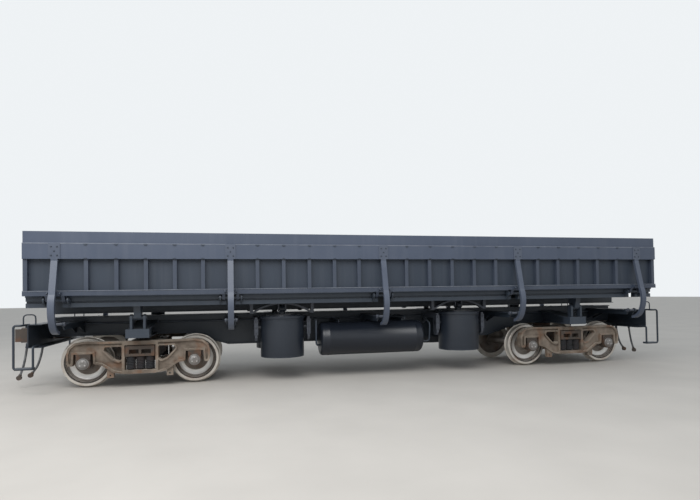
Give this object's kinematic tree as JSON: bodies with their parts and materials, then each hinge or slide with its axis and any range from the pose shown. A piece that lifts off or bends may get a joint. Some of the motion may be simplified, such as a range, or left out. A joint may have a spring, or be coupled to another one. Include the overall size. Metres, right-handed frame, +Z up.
{
  "type": "side dump car",
  "caption": "Rail side dump car: a long steel box with drop-down side gates that tips over its edge on air cylinders, carried on two swivelling trucks.",
  "frame": {"origin": "centre of the wagon on the floor that its wheel flanges stand on", "axes": "+X along the wagon, -Y towards the side it tips to, +Z up"},
  "size_m": [13.2, 3.614, 2.6559],
  "materials": {
    "box_paint": "satin blue-black paint",
    "frame_paint": "dull black paint",
    "cast_rust": "dusty rust-brown casting",
    "wheel_steel": "bright tread and rim, dusty web",
    "rod_steel": "greased steel",
    "hose_rubber": "matt black rubber hose"
  },
  "bodies": {
    "underframe": {"air_reservoir": "frame_paint", "arm_rollers": "rod_steel", "centre_plates": "frame_paint", "centre_sill": "frame_paint", "couplers": "frame_paint", "cross_bearers": "frame_paint", "cylinder_hangers": "frame_paint", "end_sills": "frame_paint", "end_steps": "frame_paint", "hanger_beams": "frame_paint", "hose_head_left_brake": "frame_paint", "hose_head_left_tipping": "frame_paint", "hose_head_right_brake": "frame_paint", "hose_head_right_tipping": "frame_paint", "hose_left_brake": "hose_rubber", "hose_left_tipping": "hose_rubber", "hose_right_brake": "hose_rubber", "hose_right_tipping": "hose_rubber", "hose_stubs": "frame_paint", "pivot_stands": "frame_paint", "reservoir_brackets": "frame_paint", "truck_bearers": "frame_paint"},
    "load_box": {"floor_deck": "box_paint", "floor_side_sills": "box_paint", "floor_long_beams": "box_paint", "floor_cross_beams": "box_paint", "end_walls": "box_paint", "pivot_saddles": "box_paint", "gate_hinges": "box_paint", "rod_yokes": "box_paint", "far_gate_skin": "box_paint", "far_gate_rail": "box_paint", "far_gate_ribs": "box_paint", "far_gate_arms": "box_paint"},
    "near_gate": {"near_gate_skin": "box_paint", "near_gate_rail": "box_paint", "near_gate_ribs": "box_paint", "near_gate_arms": "box_paint"},
    "near_cylinders": {"near_cylinders": "frame_paint", "near_stage_1": "rod_steel", "near_stage_2": "rod_steel"},
    "near_rods": {"near_rods": "rod_steel"},
    "far_cylinders": {"far_cylinders": "frame_paint"},
    "far_stage_1": {"far_stage_1": "rod_steel"},
    "far_stage_2": {"far_stage_2": "rod_steel"},
    "far_rods": {"far_rods": "rod_steel"},
    "truck_a": {"truck_a_bearings": "cast_rust", "truck_a_bolster": "cast_rust", "truck_a_brake_beams": "cast_rust", "truck_a_side_frames": "cast_rust", "truck_a_springs": "cast_rust"},
    "wheelset_a1": {"wheelset_a1": "wheel_steel"},
    "wheelset_a2": {"wheelset_a2": "wheel_steel"},
    "truck_b": {"truck_b_bearings": "cast_rust", "truck_b_bolster": "cast_rust", "truck_b_brake_beams": "cast_rust", "truck_b_side_frames": "cast_rust", "truck_b_springs": "cast_rust"},
    "wheelset_b1": {"wheelset_b1": "wheel_steel"},
    "wheelset_b2": {"wheelset_b2": "wheel_steel"}
  },
  "joints": [
    {"name": "tip", "type": "hinge", "parent": "underframe", "child": "load_box", "pos_m": [0, -1.2, 1.228], "axis": [1, 0, 0], "range_deg": [0, 45]},
    {"name": "near_gate_drop", "type": "hinge", "parent": "load_box", "child": "near_gate", "pos_m": [0, -1.52, 1.548], "axis": [1, 0, 0], "range_deg": [0, 82]},
    {"name": "near_cylinder_swing", "type": "hinge", "parent": "underframe", "child": "near_cylinders", "pos_m": [0, -0.88, 0.978], "axis": [1, 0, 0], "range_deg": [0, 16.1]},
    {"name": "near_rod_slide", "type": "slide", "parent": "near_cylinders", "child": "near_rods", "axis": [0, 0, 1], "range_m": [0, 0.2228]},
    {"name": "far_cylinder_swing", "type": "hinge", "parent": "underframe", "child": "far_cylinders", "pos_m": [0, 0.88, 0.978], "axis": [1, 0, 0], "range_deg": [0, 20.62]},
    {"name": "far_stage_1_slide", "type": "slide", "parent": "far_cylinders", "child": "far_stage_1", "axis": [0, 0, 1], "range_m": [0, 0.5224]},
    {"name": "far_stage_2_slide", "type": "slide", "parent": "far_stage_1", "child": "far_stage_2", "axis": [0, 0, 1], "range_m": [0, 0.5224]},
    {"name": "far_rod_slide", "type": "slide", "parent": "far_stage_2", "child": "far_rods", "axis": [0, 0, 1], "range_m": [0, 0.5224]},
    {"name": "truck_a_swivel", "type": "hinge", "parent": "underframe", "child": "truck_a", "pos_m": [-4.3, 0, 0.833], "axis": [0, 0, 1], "range_deg": [-4, 4]},
    {"name": "wheelset_a1_spin", "type": "hinge", "parent": "truck_a", "child": "wheelset_a1", "pos_m": [-5.215, 0, 0.448], "axis": [0, 1, 0], "continuous": true},
    {"name": "wheelset_a2_spin", "type": "hinge", "parent": "truck_a", "child": "wheelset_a2", "pos_m": [-3.385, 0, 0.448], "axis": [0, 1, 0], "continuous": true},
    {"name": "truck_b_swivel", "type": "hinge", "parent": "underframe", "child": "truck_b", "pos_m": [4.3, 0, 0.833], "axis": [0, 0, 1], "range_deg": [-4, 4]},
    {"name": "wheelset_b1_spin", "type": "hinge", "parent": "truck_b", "child": "wheelset_b1", "pos_m": [3.385, 0, 0.448], "axis": [0, 1, 0], "continuous": true},
    {"name": "wheelset_b2_spin", "type": "hinge", "parent": "truck_b", "child": "wheelset_b2", "pos_m": [5.215, 0, 0.448], "axis": [0, 1, 0], "continuous": true}
  ],
  "couplings": [
    {"joint": "near_gate_drop", "follows": "tip", "ratio": 1.8222},
    {"joint": "near_cylinder_swing", "follows": "tip", "ratio": 0.3578},
    {"joint": "near_rod_slide", "follows": "tip", "m_per_rad": 0.28355},
    {"joint": "far_cylinder_swing", "follows": "tip", "ratio": 0.45827},
    {"joint": "far_stage_1_slide", "follows": "tip", "m_per_rad": 0.66501},
    {"joint": "far_stage_2_slide", "follows": "tip", "m_per_rad": 0.66501},
    {"joint": "far_rod_slide", "follows": "tip", "m_per_rad": 0.66501}
  ]
}
